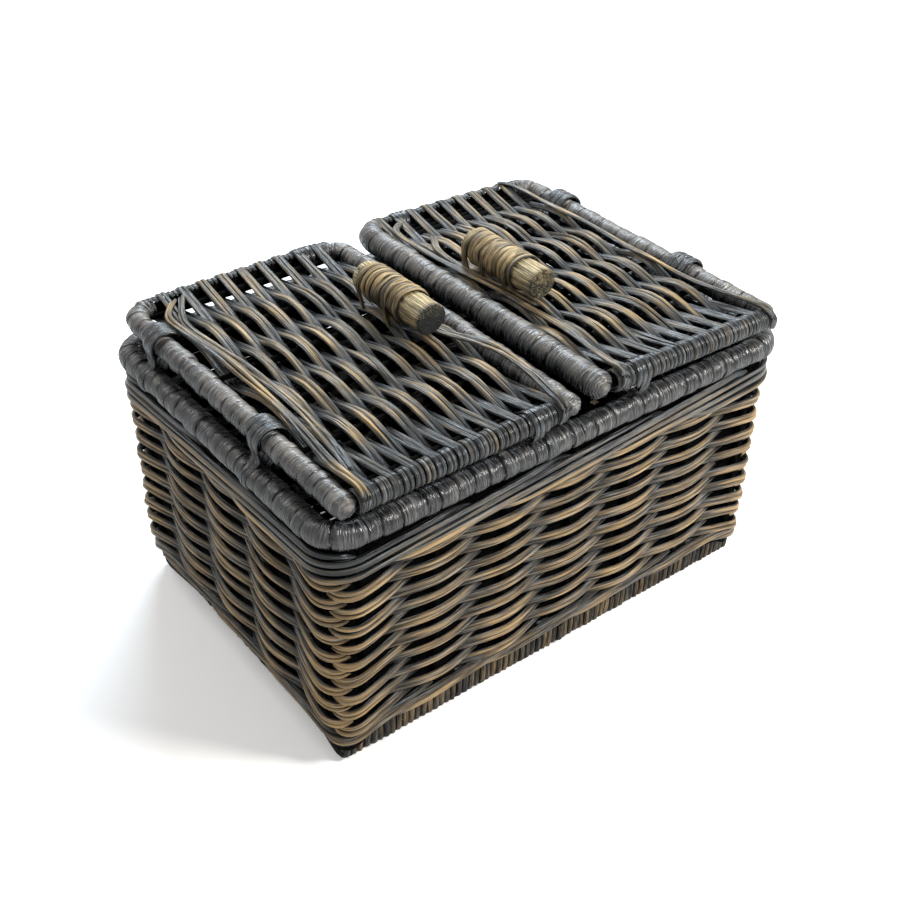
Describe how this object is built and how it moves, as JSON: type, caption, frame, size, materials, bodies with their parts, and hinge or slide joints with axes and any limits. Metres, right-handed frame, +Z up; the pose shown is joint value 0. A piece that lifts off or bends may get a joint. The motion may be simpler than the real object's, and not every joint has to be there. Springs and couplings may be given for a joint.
{
  "type": "wicker hamper",
  "caption": "Small rectangular willow hamper: square-work woven body on a woven foot, wound rim, and two wicker lids hinged at the ends, each with a lashed wooden toggle.",
  "frame": {"origin": "on the ground, under the middle of the body (bottom centre of the bounding box)", "axes": "+X along the long front side towards the right lid's hinge, +Y from the front to the back, +Z up"},
  "size_m": [0.3198, 0.2258, 0.2068],
  "materials": {
    "cane": "split cane, dark stained and worn tan, satin",
    "toggle_wood": "turned peg, dark stained and rubbed, dry satin",
    "rush_wrap": "wound rush, blue-black stain, dull sheen",
    "foot_willow": "willow, dark stained and scuffed",
    "willow_stake": "willow rod, dark stained",
    "willow_border": "twisted willow rods, dark stained, worn tan on top",
    "willow_weave": "woven willow rods, dark stained, worn tan on the high places"
  },
  "bodies": {
    "basket": {"bottom_wale_back": "willow_border", "bottom_wale_front": "willow_border", "bottom_wale_left": "willow_border", "bottom_wale_right": "willow_border", "foot_edge_back": "foot_willow", "foot_edge_front": "foot_willow", "foot_sticks": "foot_willow", "foot_weave": "foot_willow", "hinge_windings": "cane", "rim_back": "rush_wrap", "rim_front": "rush_wrap", "rim_left": "rush_wrap", "rim_right": "rush_wrap", "stakes_back": "willow_stake", "stakes_front": "willow_stake", "stakes_left": "willow_stake", "stakes_right": "willow_stake", "top_border_back": "willow_border", "top_border_front": "willow_border", "top_border_left": "willow_border", "top_border_right": "willow_border", "wall_weave_back": "willow_weave", "wall_weave_front": "willow_weave", "wall_weave_left": "willow_weave", "wall_weave_right": "willow_weave"},
    "left_lid": {"left_lid_cross_sticks": "willow_stake", "left_lid_far_rod": "rush_wrap", "left_lid_hinge_rod": "rush_wrap", "left_lid_inner_rod": "rush_wrap", "left_lid_lashings": "cane", "left_lid_near_rod": "rush_wrap", "left_lid_toggle": "toggle_wood", "left_lid_weave": "willow_weave"},
    "right_lid": {"right_lid_cross_sticks": "willow_stake", "right_lid_far_rod": "rush_wrap", "right_lid_hinge_rod": "rush_wrap", "right_lid_inner_rod": "rush_wrap", "right_lid_lashings": "cane", "right_lid_near_rod": "rush_wrap", "right_lid_toggle": "toggle_wood", "right_lid_weave": "willow_weave"}
  },
  "joints": [
    {"name": "left_lid_hinge", "type": "hinge", "parent": "basket", "child": "left_lid", "pos_m": [-0.142, 0, 0.1735], "axis": [0, -1, 0], "range_deg": [0, 180]},
    {"name": "right_lid_hinge", "type": "hinge", "parent": "basket", "child": "right_lid", "pos_m": [0.142, 0, 0.1735], "axis": [0, 1, 0], "range_deg": [0, 176]}
  ]
}
